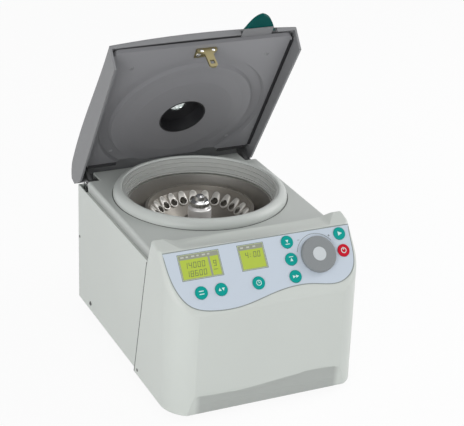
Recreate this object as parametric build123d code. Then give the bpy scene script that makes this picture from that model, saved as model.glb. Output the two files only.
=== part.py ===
from build123d import *
from math import atan2, cos, degrees, pi, radians, sin, sqrt, tan
import os

os.makedirs("parts", exist_ok=True)

# High-speed microcentrifuge, millimetres. X runs to the right of someone facing the
# control panel, Y runs from the panel to the rear, Z is up. The origin is on the table
# under the middle of the part, with its lid standing open.

# General clearances and thicknesses
seat_gap = 0.3
sliding_gap = 0.25
shaft_gap = 0.05
press_gap = 0.02
sheet = 1.6
moulding = 3.0
reach = 500.0

# Body outline
half_width = 140.0
front_half_width = half_width + 1.0
rear_y = 171.0
panel_bottom = 15.5
panel_top = 200.0
front_bottom = 10.0
seam_gap = 0.5
seam_bottom_y = -64.0
seam_top_y = -106.5
corner_radius = 45.0

# Front cover profile, in Y and Z
horn_y = -121.8
horn_z = 238.0
brow_y = -149.2
brow_z = 230.8
panel_tilt = 39.0
panel_length = 90.0
nose_radius = 10.0
horn_edge_radius = 4.0
crest_radius = 3.0
front_face_y = -205.0
kick_z = 40.0
kick_depth = 4.0
kick_swell = 5.0
dip_half_width = front_half_width - 36.0
horn_half_width = front_half_width - 10.0
scoop_radius = 60.0
scoop_depth = 2.0
brow_wall = 2.2

# Deck
deck_half_width = half_width - 3.5
deck_front_y = -118.0
deck_top = 216.0
deck_edge_radius = 4.0
ledge_width = 6.5
notch_inner_x = deck_half_width - 20.0
notch_front_y = 138.0
skirt_wall = 3.0
skirt_bottom = 204.2

# Chamber
axis_y = 42.0
collar_bore = 107.0
collar_base_radius = collar_bore + 18.0
collar_wall = 2.5
collar_throat_z = 209.0
collar_top = 229.5
collar_crest_radius = collar_bore + 7.0
collar_crest_width = 2.5
deck_hole_gap = 1.0
deck_hole = collar_bore + collar_wall + deck_hole_gap
skirt_outer = deck_hole + skirt_wall
gasket_depth = 2.5
gasket_web = 0.8
gasket_bottom = 206.5
gasket_top = 227.0
gasket_steps = 3
bowl_radius = collar_bore - 3.0
bowl_wall = 1.2
bowl_corner = 8.0
bowl_bottom = 126.0
bowl_lip = skirt_outer + 2.5
bowl_hole = 24.0

# Rotor
pocket_count = 24
rotor_radius = bowl_radius - 10.5
pocket_ring_radius = rotor_radius - 31.5
pocket_mouth_z = 179.5
pocket_bore = 5.6
pocket_depth = 36.0
pocket_tilt = 45.0
lobe_height = 2.5
lobe_foot_radius = 6.9
lobe_tip_radius = 3.8
lobe_reach = 11.5
rotor_shoulder_z = 168.0
rotor_neck_z = 184.0
rotor_rim_radius = rotor_radius - 15.0
rotor_rim_top = 198.0
rotor_rim_width = 4.0
rotor_ledge_z = 190.5
rotor_bottom = 147.0
rotor_belly = rotor_radius - 27.5
hub_radius = pocket_ring_radius - 23.0
hub_top = 178.0
hub_bottom = 140.0
hub_collar = 22.0
hub_slope = 2.0
cone_floor_z = pocket_mouth_z - (pocket_ring_radius - hub_radius)
nut_radius = 17.0
nut_body_height = 18.0
nut_top = 215.0

# Drive
shaft_radius = 6.0
shaft_shoulder = 9.0
motor_radius = 45.0
motor_bottom = 24.0
motor_top = 116.0
motor_wall = 3.0
bearing_radius = 13.0
bearing_height = 8.0
end_plate = 4.0
stator_bore = 25.0
stator_bottom = 45.0
stator_top = 95.0
air_gap = 0.6
flange_bottom = 42.0
flange_thickness = 6.0
flange_radius = 70.0
motor_shoulder = 52.0
mount_count = 3
mount_radius = 10.0
mount_circle = 60.0

# Lid, drawn closed in Y and Z
hinge_y = 155.5
hinge_z = 202.0
lid_open = 58.3
lid_wall = 3.0
lid_edge_radius = 2.5
lid_front_y = -119.8
lid_front_z = 237.5
lid_back_y = 150.0
lid_back_z = 253.0
lid_arch = 2.2
lid_heel_y = 183.5
lid_heel_z = 241.0
lid_tail_y = 180.5
lid_tail_z = 226.0
flange_rear_y = 155.0
flange_rear_z = 212.0
flange_front_y = -106.2
flange_front_z = 204.6
lid_crown = 4.5
lid_bulge = 3.0
lip_bottom = 231.8
liner_bottom = 226.0
liner_thickness = 2.5
liner_rim_top = 232.8
liner_half_width = half_width - 6.0
liner_front_y = -113.0
liner_rear_y = 140.0
liner_dome_radius = collar_bore - 13.0
liner_dome_drop = 3.5
liner_dome_slope = 18.0
channel_inner = collar_crest_radius - 7.0
channel_outer = collar_base_radius + 2.5
channel_rise = 5.2
channel_slope = 3.0
boss_front_x = half_width - 38.0
boss_front_y = -78.0
boss_rear_x = channel_inner - 14.0
boss_rear_y = channel_inner + 9.0
boss_pad = 1.5
boss_radius = 5.0
port_radius = 33.0
port_wall = 2.2
port_top = 246.0
glass_radius = 14.0
glass_thickness = 4.0
bezel_flange = 20.0
bezel_top = 258.6
bezel_thickness = 2.5
handle_left_x = 55.0
handle_right_x = 108.0
handle_peak_x = 80.0
handle_reach = 32.0
handle_bottom = 233.5
handle_top = 240.3
tongue_left_x = 62.0
tongue_right_x = 102.0

# Hinges
arm_centre_x = half_width - 13.5
arm_pad = 8.0
arm_pad_y0 = 146.0
arm_pad_y1 = 165.0
arm_top = 240.0
bracket_bottom = 150.0
bracket_top = 211.0
arm_thickness = 5.0
arm_eye = 8.0
cheek_thickness = 2.5
pin_radius = 4.0
pin_head = 6.0

# Lock
hook_x = 2.0
hook_y = -104.5
hook_width = 12.0
hook_thickness = 3.0
hook_bottom = 192.0
hook_window = 6.6
striker_width = 30.0
striker_depth = 16.0
striker_screw = 10.5
striker_screw_y = -95.0
liner_screw_sink = 1.6
liner_screw_length = 9.0
slot_width = 16.0
slot_front = 5.0
slot_rear = 5.0
latch_bottom = 187.0
latch_half = 15.0
latch_front = -118.0
latch_rear = -93.0
bolt_radius = 3.0
bolt_z = 200.5
bolt_rest_y = -110.2
bolt_length = 25.0
solenoid_front = -140.0
solenoid_half = 11.0

# Control panel, in the plane of the panel: X across, S down from its top edge
membrane_thickness = 0.6
recess_depth = 0.8
recess_margin = 0.6
overlay_top_s = 1.4
overlay_half_width = front_half_width - 4.0
key_radius = 8.75
key_proud = 0.9
key_travel = 0.8
key_flange = 1.0
key_row_pitch = 24.0
key_top_s = 12.6
speed_window = (-117.1, -59.9, 7.6, 41.2)
time_window = (-31.5, 4.9, 7.6, 41.2)
knob_x = 80.8
knob_radius = 25.1
knob_height = 6.0
knob_edge_radius = 1.6
knob_cap_radius = 9.6
knob_cap_depth = 1.6
knob_cap_proud = 0.3
board_depth = 14.4
board_thickness = 1.6
board_left_x = 16.0 - half_width
board_right_x = half_width - 10.0
board_top_s = 8.0
board_bottom_s = 74.0
board_posts = [(-45.5, 12.0), (20.0, 12.0), (-110.0, 48.0), (100.0, 62.0)]
post_radius = 3.0
encoder_neck = 4.5
encoder_half = 8.0
knob_shaft = 3.0
switch_half = 4.0
switch_top = -9.0
stem_radius = 3.0

# Rear and base
base_thickness = 2.0
base_side_gap = 0.8
base_half_width = half_width - sheet - base_side_gap
base_flange_top = 38.0
base_top = panel_bottom + base_thickness
stud_height = 8.0
supply_left_x = 16.0 - half_width
supply_width = 54.0
supply_front_y = 54.0
supply_length = 102.0
supply_edge = 6.0
screw_radius = 1.6
screw_head = 3.2
screw_proud = 1.4
side_screw_y = 118.5
side_screw_z = 27.0
rear_screw_x = arm_centre_x
rear_screw_zs = (27.0, 160.0, 184.0)
foot_radius = 16.0
foot_x = half_width - 26.0
foot_front_y = -150.0
foot_rear_y = 142.0
vent_rows = 11
vent_pitch = 9.0
vent_width = 3.6
vent_length = 92.0
vent_centre_x = 88.0 - half_width
vent_bottom_z = 70.0
inlet_x = half_width - 56.0
inlet_z = 52.0
inlet_half_x = 14.0
inlet_half_z = 12.0
inlet_depth = 22.0
switch_x = inlet_x
switch_z = 92.0
switch_half_x = 13.5
switch_half_z = 9.5
rocker_angle = 9.0
rocker_y = rear_y - 2.5
rocker_pin = 1.5


def save(shape, name):
    export_step(shape, f"parts/{name}.step")


def group(shapes):
    return Compound(children=list(shapes))


def side_face(points):
    # A closed outline in Y and Z, on the plane X = 0, facing +X.
    return Plane.YZ * make_face(Polyline(*points, close=True))


def turned(points):
    # A closed outline of radius and height, turned about the chamber's axis.
    ring = revolve(Plane.XZ * make_face(Polyline(*points, close=True)), Axis.Z)
    return Pos(0, axis_y, 0) * ring


def block(x0, x1, y0, y1, z0, z1):
    middle = Pos((x0 + x1) / 2, (y0 + y1) / 2, (z0 + z1) / 2)
    return middle * Box(x1 - x0, y1 - y0, z1 - z0)


def rod_x(x0, x1, y, z, radius):
    return Pos((x0 + x1) / 2, y, z) * Rot(0, 90, 0) * Cylinder(radius, x1 - x0)


def rod_y(x, y0, y1, z, radius):
    return Pos(x, (y0 + y1) / 2, z) * Rot(90, 0, 0) * Cylinder(radius, y1 - y0)


def rod_z(x, y, z0, z1, radius):
    return Pos(x, y, (z0 + z1) / 2) * Cylinder(radius, z1 - z0)


def tube_z(x, y, z0, z1, outer, inner):
    return rod_z(x, y, z0, z1, outer) - rod_z(x, y, z0 - 1, z1 + 1, inner)


# The control panel's own frame: local X across, local Y up the slope, local Z outwards
panel_plane = Plane(
    origin=(0, brow_y, brow_z),
    x_dir=(1, 0, 0),
    z_dir=(0, -cos(radians(panel_tilt)), sin(radians(panel_tilt))),
)


def on_panel(shape):
    return panel_plane * shape


def panel_block(x0, x1, s0, s1, z0, z1):
    middle = Pos((x0 + x1) / 2, -(s0 + s1) / 2, (z0 + z1) / 2)
    return on_panel(middle * Box(x1 - x0, s1 - s0, z1 - z0))


def panel_rod(x, s, z0, z1, radius):
    return on_panel(Pos(x, -s, (z0 + z1) / 2) * Cylinder(radius, z1 - z0))


key_places = {
    "unit_key": (-96.2, key_top_s + 2 * key_row_pitch),
    "ramp_key": (-67.8, key_top_s + 2 * key_row_pitch),
    "time_key": (-13.7, key_top_s + 2 * key_row_pitch),
    "store_key": (40.7, key_top_s),
    "recall_key": (40.7, key_top_s + key_row_pitch),
    "quick_run_key": (40.7, key_top_s + 2 * key_row_pitch),
    "start_key": (120.0, key_top_s),
    "stop_key": (120.0, key_top_s + key_row_pitch),
}
knob_s = key_top_s + key_row_pitch


def membrane_face(margin):
    # The overlay's outline: straight along the top, a free curve round the rest.
    top = margin - overlay_top_s
    half = overlay_half_width + margin
    return make_face(
        [
            Line((-half, top), (half, top)),
            Spline(
                (half, top),
                (half - 2.4, -34),
                (half - 10.5, -64 - margin),
                (half - 30, -77.6 - margin),
                (63, -74.3 - margin),
                (2, -78 - margin),
                (-40, -86.9 - margin),
                (-half + 53, -87 - margin),
                (-half + 22.4, -76.6 - margin),
                (-half + 6.6, -51.6),
                (-half + 1, -22),
                (-half, top),
            ),
        ]
    )


def edges_near(shape, points):
    # For each point, the edge whose middle lies nearest to it.
    found = []
    for x, y, z in points:
        place = Vector(x, y, z)
        found.append(min(shape.edges(), key=lambda edge: ((edge @ 0.5) - place).length))
    return found


# Front cover
def seam_y(z):
    # The slanted seam between a side panel and the front cover.
    share = (z - panel_bottom) / (panel_top - panel_bottom)
    return seam_bottom_y + share * (seam_top_y - seam_bottom_y)


nose_y = brow_y - panel_length * sin(radians(panel_tilt))
nose_z = brow_z - panel_length * cos(radians(panel_tilt))
cover_outline = [
    (seam_y(front_bottom), front_bottom),
    (seam_top_y, panel_top),
    (horn_y, horn_z),
    (brow_y, brow_z),
    (nose_y, nose_z),
    (front_face_y, kick_z),
    (front_face_y + kick_depth, front_bottom),
]


def plan_outline(half, front, radius, back):
    # The plan of the rounded front, as a tall prism.
    wide = Pos(0, (front + back) / 2) * Rectangle(2 * half, back - front)
    corners = [v for v in wide.vertices() if v.Y < (front + back) / 2]
    return Pos(0, 0, -reach) * extrude(fillet(corners, radius), 2 * reach)


def make_front_cover():
    profile = side_face(cover_outline)
    outer = extrude(profile, front_half_width, both=True)
    outer = outer & plan_outline(front_half_width, nose_y - 1, corner_radius, 0)
    corner_y = nose_y + corner_radius * 0.43
    nose_x = front_half_width - corner_radius * 0.18
    side_z = nose_z + 23
    nose_points = [(0, nose_y, nose_z), (-nose_x, corner_y, side_z), (nose_x, corner_y, side_z)]
    outer = fillet(edges_near(outer, nose_points), nose_radius)
    horn_middle = ((horn_y + brow_y) / 2, (horn_z + brow_z) / 2)
    horn_points = [(side * front_half_width, *horn_middle) for side in (-1, 1)]
    outer = fillet(edges_near(outer, horn_points), horn_edge_radius)
    outer = fillet(edges_near(outer, [(0, horn_y, horn_z)]), crest_radius)
    inner_half = front_half_width - moulding
    hollow_profile = offset(profile, -moulding, kind=Kind.INTERSECTION)
    hollow = extrude(hollow_profile, inner_half, both=True)
    ceiling = brow_z - scoop_depth - brow_wall
    hollow = hollow & block(-inner_half, inner_half, -reach, 0, -reach, ceiling)
    below_deck = deck_top + seat_gap
    hollow += block(-inner_half, inner_half, horn_y, 0, -reach, below_deck)
    floor_y = front_face_y + kick_depth + moulding
    hollow += block(-inner_half, inner_half, floor_y, 0, -reach, front_bottom + 2 * moulding)
    hollow_plan = plan_outline(inner_half, nose_y - 1 + moulding, corner_radius - moulding, 0)
    cover = outer - (hollow & hollow_plan)
    # The brow sinks between its two ends, and its top is slightly scooped.
    dip = Plane.XZ * make_face(
        [
            Spline(
                (-horn_half_width, horn_z + 1),
                (-(horn_half_width + dip_half_width) / 2, (horn_z + brow_z) / 2),
                (-dip_half_width, brow_z),
                tangents=[(1, -0.5), (1, 0)],
            ),
            Line((-dip_half_width, brow_z), (dip_half_width, brow_z)),
            Spline(
                (dip_half_width, brow_z),
                ((horn_half_width + dip_half_width) / 2, (horn_z + brow_z) / 2),
                (horn_half_width, horn_z + 1),
                tangents=[(1, 0), (1, 0.5)],
            ),
            Polyline(
                (horn_half_width, horn_z + 1),
                (horn_half_width, horn_z + 20),
                (-horn_half_width, horn_z + 20),
                (-horn_half_width, horn_z + 1),
            ),
        ]
    )
    dip_length = seam_top_y - brow_y
    cover -= Pos(0, seam_top_y, 0) * extrude(dip, dip_length)
    scoop = revolve(
        make_face(
            [
                Line((-dip_half_width, 0), (dip_half_width, 0)),
                Line((dip_half_width, 0), (dip_half_width, scoop_radius)),
                ThreePointArc(
                    (dip_half_width, scoop_radius),
                    (0, scoop_radius + scoop_depth),
                    (-dip_half_width, scoop_radius),
                ),
                Line((-dip_half_width, scoop_radius), (-dip_half_width, 0)),
            ]
        ),
        Axis.X,
    )
    cover -= Pos(0, (horn_y + brow_y) / 2, brow_z + scoop_radius) * scoop
    # The shallow recess along the foot of the front, with its wavy upper edge.
    wave_half = front_half_width - corner_radius / 2
    wave = Plane.XZ * make_face(
        [
            Spline(
                (-wave_half, front_bottom - 1),
                (-wave_half * 0.86, kick_z),
                (-wave_half * 0.4, kick_z - kick_swell),
                (wave_half * 0.35, kick_z + kick_swell * 0.6),
                (wave_half * 0.87, kick_z + kick_swell * 0.4),
                (wave_half, front_bottom - 1),
            ),
            Line((wave_half, front_bottom - 1), (-wave_half, front_bottom - 1)),
        ]
    )
    kick_back = front_face_y + kick_depth / 2
    cover -= Pos(0, kick_back, 0) * extrude(wave, 20)
    # The recess for the overlay, and the holes behind it.
    cover -= on_panel(Pos(0, 0, -recess_depth) * extrude(membrane_face(recess_margin), 5))
    for x0, x1, s0, s1 in (speed_window, time_window):
        gap = sliding_gap
        cover -= panel_block(x0 - gap, x1 + gap, s0 - gap, s1 + gap, -moulding - 2, 2)
    for x, s in key_places.values():
        cover -= panel_rod(x, s, -moulding - 2, 2, key_radius + sliding_gap)
    cover -= panel_rod(knob_x, knob_s, -moulding - 2, 2, encoder_neck + sliding_gap)
    for x, s in board_posts:
        cover += panel_rod(x, s, -board_depth, -moulding + 0.5, post_radius)
    return cover


front_cover = make_front_cover()
save(front_cover, "front_cover")


# Control panel overlay, displays, keys and board
def make_membrane():
    sheet_solid = extrude(membrane_face(0), membrane_thickness)
    overlay = on_panel(Pos(0, 0, -recess_depth) * sheet_solid)
    for x0, x1, s0, s1 in (speed_window, time_window):
        overlay -= panel_block(x0, x1, s0, s1, -2, 1)
    for x, s in key_places.values():
        overlay -= panel_rod(x, s, -2, 1, key_radius + sliding_gap)
    overlay -= panel_rod(knob_x, knob_s, -2, 1, encoder_neck + sliding_gap)
    return overlay


def make_display(window):
    x0, x1, s0, s1 = window
    front = -recess_depth + membrane_thickness
    glass = panel_block(x0, x1, s0, s1, -moulding - seat_gap, front)
    rim = 3.0
    back = -board_depth + seat_gap
    body = panel_block(x0 - rim, x1 + rim, s0 - rim, s1 + rim, back, -moulding - seat_gap)
    return glass + body


def make_key(place):
    x, s = place
    cap = panel_rod(x, s, -moulding - seat_gap, key_proud, key_radius)
    cap = fillet(cap.edges().group_by(Axis(panel_plane.origin, panel_plane.z_dir))[-1], 0.5)
    collar_back = -moulding - seat_gap - key_flange
    collar = panel_rod(x, s, collar_back, -moulding - seat_gap, key_radius + 3 * sliding_gap)
    stem_end = switch_top + key_travel + sliding_gap
    stem = panel_rod(x, s, stem_end, collar_back, stem_radius)
    return cap + collar + stem


def make_board():
    chip = -board_depth - board_thickness
    left = board_left_x
    right = board_right_x
    board = panel_block(left, right, board_top_s, board_bottom_s, chip, -board_depth)
    # The lower corners are cut away where the front cover curves in.
    board -= panel_block(left - 6, left + 16, board_bottom_s - 14, reach, -20, 0)
    board -= panel_block(right - 18, right + 10, board_bottom_s - 18, reach, -20, 0)
    for x, s, half in ((-60, 30, 9), (-8, 34, 7), (52, 34, 8), (96, 24, 6)):
        board += panel_block(x - half, x + half, s - half, s + half, chip - 2.2, chip)
    return board


def make_switches():
    back = -board_depth
    solids = []
    for x, s in key_places.values():
        half = switch_half
        solids.append(panel_block(x - half, x + half, s - half, s + half, back, switch_top))
    return group(solids)


def make_encoder():
    half = encoder_half
    front = -moulding - seat_gap
    left = knob_x - half
    right = knob_x + half
    body = panel_block(left, right, knob_s - half, knob_s + half, -board_depth, front)
    neck = panel_rod(knob_x, knob_s, front, -recess_depth, encoder_neck)
    bore = panel_rod(knob_x, knob_s, -board_depth + 2, 1, knob_shaft + shaft_gap)
    return body + neck - bore


def make_knob():
    skirt = panel_rod(knob_x, knob_s, seat_gap, knob_height, knob_radius)
    top = skirt.edges().group_by(Axis(panel_plane.origin, panel_plane.z_dir))[-1]
    skirt = fillet(top, knob_edge_radius)
    seat_bottom = knob_height - knob_cap_depth
    seat = panel_rod(knob_x, knob_s, seat_bottom, knob_height + 1, knob_cap_radius + shaft_gap)
    shaft = panel_rod(knob_x, knob_s, -board_depth + 2.5, seat_gap, knob_shaft)
    return skirt - seat + shaft


def make_knob_cap():
    back = knob_height - knob_cap_depth
    return panel_rod(knob_x, knob_s, back, knob_height + knob_cap_proud, knob_cap_radius)


save(make_membrane(), "membrane_panel")
save(make_display(speed_window), "speed_display")
save(make_display(time_window), "time_display")
save(make_board(), "control_board")
save(make_switches(), "key_switches")
save(make_encoder(), "knob_encoder")
save(make_knob(), "jog_knob")
save(make_knob_cap(), "knob_cap")
for name, place in key_places.items():
    save(make_key(place), name)


# Side panels, rear panel, base and feet
def make_side_panel(side):
    outline = [
        (seam_y(panel_bottom) + seam_gap, panel_bottom),
        (seam_top_y + seam_gap, panel_top),
        (rear_y, panel_top),
        (rear_y, panel_bottom),
    ]
    plate = extrude(side_face(outline), sheet)
    plate = Pos(half_width - sheet, 0, 0) * plate
    ledge_y0 = seam_top_y + seam_gap + 1
    inner_x = half_width - ledge_width
    ledge = block(inner_x, half_width, ledge_y0, notch_front_y, panel_top - sheet, panel_top)
    panel = plate + ledge - screw_hole_x(half_width, side_screw_y, side_screw_z)
    return panel if side > 0 else mirror(panel, Plane.YZ)


def rear_screw_places():
    return [(side * rear_screw_x, z) for side in (-1, 1) for z in rear_screw_zs]


def rear_block(x, z, half_x, half_z, y0, y1):
    return block(x - half_x, x + half_x, y0, y1, z - half_z, z + half_z)


def make_rear_panel():
    half = half_width - sheet - 0.2
    panel = block(-half, half, rear_y - sheet, rear_y, panel_bottom, panel_top)
    for row in range(vent_rows):
        z = vent_bottom_z + row * vent_pitch
        slot = SlotOverall(vent_length, vent_width)
        panel -= Pos(vent_centre_x, rear_y + 1, z) * Rot(90, 0, 0) * extrude(slot, 4)
    inside = rear_y - 3
    outside = rear_y + 1
    panel -= rear_block(inlet_x, inlet_z, inlet_half_x + 0.2, inlet_half_z + 0.2, inside, outside)
    panel -= rear_block(switch_x, switch_z, switch_half_x + 0.2, switch_half_z + 0.2, inside, outside)
    for x, z in rear_screw_places():
        panel -= rod_y(x, rear_y - 3, rear_y + 1, z, screw_radius + shaft_gap)
    return panel


def screw_hole_x(x, y, z):
    return rod_x(x - 6, x + 6, y, z, screw_radius + shaft_gap)


def mount_places():
    for i in range(mount_count):
        angle = radians(90 + 360 / mount_count * i)
        yield mount_circle * cos(angle), axis_y + mount_circle * sin(angle)


def supply_corners():
    # The studs under the power board's corners.
    near_x = supply_left_x + supply_edge
    far_x = supply_left_x + supply_width - supply_edge
    near_y = supply_front_y + supply_edge
    far_y = supply_front_y + supply_length - supply_edge
    return [(near_x, near_y), (far_x, near_y), (near_x, far_y), (far_x, far_y)]


def make_base():
    front = front_face_y + kick_depth + moulding + 1
    rear_inside = rear_y - sheet
    plan = plan_outline(base_half_width, front, corner_radius - moulding, rear_inside)
    plate = plan & block(-half_width, half_width, -reach, reach, panel_bottom, base_top)
    flange_in = base_half_width - base_thickness
    panel_inside = half_width - sheet
    for side in (-1, 1):
        x0, x1 = sorted((side * flange_in, side * panel_inside))
        plate += block(x0, x1, -40, rear_inside - 1, panel_bottom, base_flange_top)
        plate -= screw_hole_x(side * half_width, side_screw_y, side_screw_z)
    rear_y0 = rear_inside - base_thickness
    rear_top = base_flange_top - 2
    plate += block(-flange_in, flange_in, rear_y0, rear_inside, panel_bottom, rear_top)
    hole_radius = screw_radius + shaft_gap
    for side in (-1, 1):
        x = side * rear_screw_x
        plate -= rod_y(x, rear_inside - 4, rear_inside + 1, rear_screw_zs[0], hole_radius)
    for x, y in supply_corners():
        plate += rod_z(x, y, base_top - 0.5, base_top + stud_height, 3.0)
    for x, y in mount_places():
        plate += rod_z(x, y, base_top - 0.5, base_top + 3, mount_radius - 3)
    return plate


def make_feet():
    places = [(x, y) for x in (-foot_x, foot_x) for y in (foot_front_y, foot_rear_y)]
    foot = rod_z(0, 0, 0, panel_bottom, foot_radius)
    foot = chamfer(foot.edges().group_by(Axis.Z)[0], 2.0)
    return group(Pos(x, y, 0) * foot for x, y in places)


save(make_side_panel(-1), "left_side_panel")
save(make_side_panel(1), "right_side_panel")
save(make_rear_panel(), "rear_panel")
save(make_base(), "base_plate")
save(make_feet(), "rubber_feet")


# Deck, collar, gasket and bowl
def hook_slot(z0, z1):
    half = slot_width / 2
    return block(hook_x - half, hook_x + half, hook_y - slot_front, hook_y + slot_rear, z0, z1)


def make_deck():
    bottom = panel_top + seat_gap
    shell = block(-deck_half_width, deck_half_width, deck_front_y, rear_y, bottom, deck_top)
    long_edges = [
        e for e in shell.edges().filter_by(Axis.Y) if abs(e.center().Z - deck_top) < 0.01
    ]
    shell = fillet(long_edges, deck_edge_radius)
    rear_edge = shell.edges().filter_by(Axis.X).group_by(Axis.Y)[-1].sort_by(Axis.Z)[-1]
    shell = fillet(rear_edge, 2.5)
    inner = deck_half_width - moulding
    under = deck_top - moulding
    shell -= block(-inner, inner, deck_front_y - 1, rear_y - moulding, bottom - 1, under)
    for side in (-1, 1):
        x0, x1 = sorted((side * notch_inner_x, side * (deck_half_width + 1)))
        shell -= block(x0, x1, notch_front_y, rear_y + 1, bottom - 1, deck_top + 1)
    shell += tube_z(0, axis_y, skirt_bottom, under + 0.5, skirt_outer, deck_hole)
    shell -= rod_z(0, axis_y, 0, reach, deck_hole)
    shell -= hook_slot(skirt_bottom, reach)
    return shell


def throat_radius(z):
    # The collar's inner wall, which widens from its throat up to its crest.
    widening = (collar_crest_radius - 1 - collar_bore) / (collar_top - 1.5 - collar_throat_z)
    return collar_bore + max(0, z - collar_throat_z) * widening


def make_collar():
    neck = collar_bore + collar_wall
    foot = skirt_bottom + 1
    crest_outer = collar_crest_radius + collar_crest_width
    section = make_face(
        [
            Polyline(
                (neck, deck_top),
                (neck, foot),
                (collar_bore, foot),
                (collar_bore, collar_throat_z),
                (collar_crest_radius - 1, collar_top - 1.5),
                (collar_crest_radius, collar_top),
                (crest_outer, collar_top),
            ),
            ThreePointArc(
                (crest_outer, collar_top),
                (collar_base_radius - 1.8, collar_top - 5),
                (collar_base_radius, deck_top),
            ),
            Line((collar_base_radius, deck_top), (neck, deck_top)),
        ]
    )
    return Pos(0, axis_y, 0) * revolve(Plane.XZ * section, Axis.Z)


def make_gasket():
    points = [
        (collar_bore - gasket_depth, gasket_bottom),
        (collar_bore - shaft_gap, gasket_bottom),
        (collar_bore - shaft_gap, collar_throat_z),
        (throat_radius(gasket_top) - shaft_gap, gasket_top),
    ]
    pitch = (gasket_top - collar_throat_z) / gasket_steps
    for step in range(gasket_steps):
        top = gasket_top - step * pitch
        wall = throat_radius(top - pitch) - gasket_web
        points.append((wall, top))
        points.append((wall, top - pitch))
    points.append((collar_bore - gasket_depth, collar_throat_z))
    return turned(points)


def make_bowl():
    inner = bowl_radius - bowl_wall
    lip_top = skirt_bottom
    points = [
        (bowl_hole, bowl_bottom),
        (bowl_radius - bowl_corner, bowl_bottom),
        (bowl_radius, bowl_bottom + bowl_corner),
        (bowl_radius, lip_top - bowl_wall),
        (bowl_lip, lip_top - bowl_wall),
        (bowl_lip, lip_top),
        (inner, lip_top),
        (inner, bowl_bottom + bowl_corner),
        (inner - bowl_corner + 0.5, bowl_bottom + bowl_wall),
        (bowl_hole, bowl_bottom + bowl_wall),
    ]
    return turned(points)


save(make_deck(), "top_deck")
save(make_collar(), "chamber_collar")
save(make_gasket(), "collar_gasket")
save(make_bowl(), "chamber_bowl")


# Drive
def make_motor_housing():
    shaft_hole = shaft_shoulder + 1
    seat = bearing_radius + shaft_gap
    cavity = motor_radius - motor_wall
    low_seat = motor_bottom + end_plate
    high_seat = motor_top - end_plate - bearing_height
    shoulder_z = flange_bottom + flange_thickness
    points = [
        (0, motor_bottom),
        (motor_radius, motor_bottom),
        (motor_radius, shoulder_z),
        (motor_shoulder, shoulder_z),
        (motor_shoulder, shoulder_z + 5),
        (motor_radius, shoulder_z + 5),
        (motor_radius, motor_top),
        (shaft_hole, motor_top),
        (shaft_hole, high_seat + bearing_height),
        (seat, high_seat + bearing_height),
        (seat, high_seat),
        (cavity, high_seat),
        (cavity, low_seat + bearing_height),
        (seat, low_seat + bearing_height),
        (seat, low_seat),
        (0, low_seat),
    ]
    return turned(points)


def make_bearings():
    low = motor_bottom + end_plate
    high = motor_top - end_plate - bearing_height
    return group(
        tube_z(0, axis_y, z, z + bearing_height, bearing_radius, shaft_radius + shaft_gap)
        for z in (low, high)
    )


def make_shaft():
    bottom = motor_bottom + end_plate + seat_gap
    shoulder_z = motor_top - end_plate + 0.5
    points = [
        (0, bottom),
        (shaft_radius, bottom),
        (shaft_radius, shoulder_z),
        (shaft_shoulder, shoulder_z),
        (shaft_shoulder, hub_bottom),
        (shaft_radius, hub_bottom),
        (shaft_radius, hub_top + nut_body_height + 4),
        (0, hub_top + nut_body_height + 4),
    ]
    return turned(points)


def make_mounts():
    return group(
        tube_z(x, y, base_top, flange_bottom, mount_radius, mount_radius - 3 + sliding_gap)
        for x, y in mount_places()
    )


def make_flange():
    flange_top = flange_bottom + flange_thickness
    plate = rod_z(0, axis_y, flange_bottom, flange_top, flange_radius)
    for x, y in mount_places():
        plate += rod_z(x, y, flange_bottom, flange_top, mount_radius + 4)
    return plate - rod_z(0, axis_y, 0, reach, motor_radius + sliding_gap)


def drive_ring(bottom, top, outer, inner):
    return tube_z(0, axis_y, bottom, top, outer, inner)


stator_radius = motor_radius - motor_wall - shaft_gap
armature_radius = stator_bore - air_gap
seal_top = bowl_bottom + bowl_wall
seal_radius = bowl_hole - seat_gap


save(make_motor_housing(), "motor_housing")
save(make_bearings(), "motor_bearings")
save(make_shaft(), "motor_shaft")
save(drive_ring(stator_bottom, stator_top, stator_radius, stator_bore), "motor_stator")
armature = drive_ring(stator_bottom + 2, stator_top - 2, armature_radius, shaft_radius + press_gap)
save(armature, "motor_armature")
save(make_mounts(), "motor_mounts")
save(make_flange(), "motor_flange")
save(drive_ring(motor_top, seal_top, seal_radius, shaft_shoulder + 1.5), "shaft_seal")


# Rotor
def make_rotor_ring():
    face_low = (hub_radius, cone_floor_z)
    face_high = (pocket_ring_radius + rotor_ledge_z - pocket_mouth_z, rotor_ledge_z)
    points = [
        (hub_radius, rotor_bottom + 2),
        (rotor_belly, rotor_bottom - 4),
        (rotor_radius - 4, rotor_bottom - 4),
        (rotor_radius, rotor_bottom),
        (rotor_radius, rotor_shoulder_z),
        (rotor_rim_radius + 1, rotor_neck_z),
        (rotor_rim_radius, rotor_rim_top),
        (rotor_rim_radius - rotor_rim_width, rotor_rim_top),
        face_high,
        face_low,
    ]
    ring = revolve(Plane.XZ * make_face(Polyline(*points, close=True)), Axis.Z)
    tilt = radians(pocket_tilt)
    mouth = Plane(
        origin=(pocket_ring_radius, 0, pocket_mouth_z),
        x_dir=(sin(tilt), 0, cos(tilt)),
        z_dir=(-cos(tilt), 0, sin(tilt)),
    )
    # Each lobe is wide round its pocket and narrows towards the rim.
    ends = Circle(lobe_foot_radius).edges() + (Pos(lobe_reach, 0) * Circle(lobe_tip_radius)).edges()
    root = 3
    lobe = mouth * Pos(0, 0, -root) * extrude(make_hull(ends), lobe_height + root)
    drill = pocket_depth + lobe_height + 1
    bore = mouth * Pos(0, 0, lobe_height + 1 - drill / 2) * Cylinder(pocket_bore, drill)
    step = 360 / pocket_count
    ring += [Rot(0, 0, i * step) * lobe for i in range(pocket_count)]
    ring -= [Rot(0, 0, i * step) * bore for i in range(pocket_count)]
    return Pos(0, axis_y, 0) * ring


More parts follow.
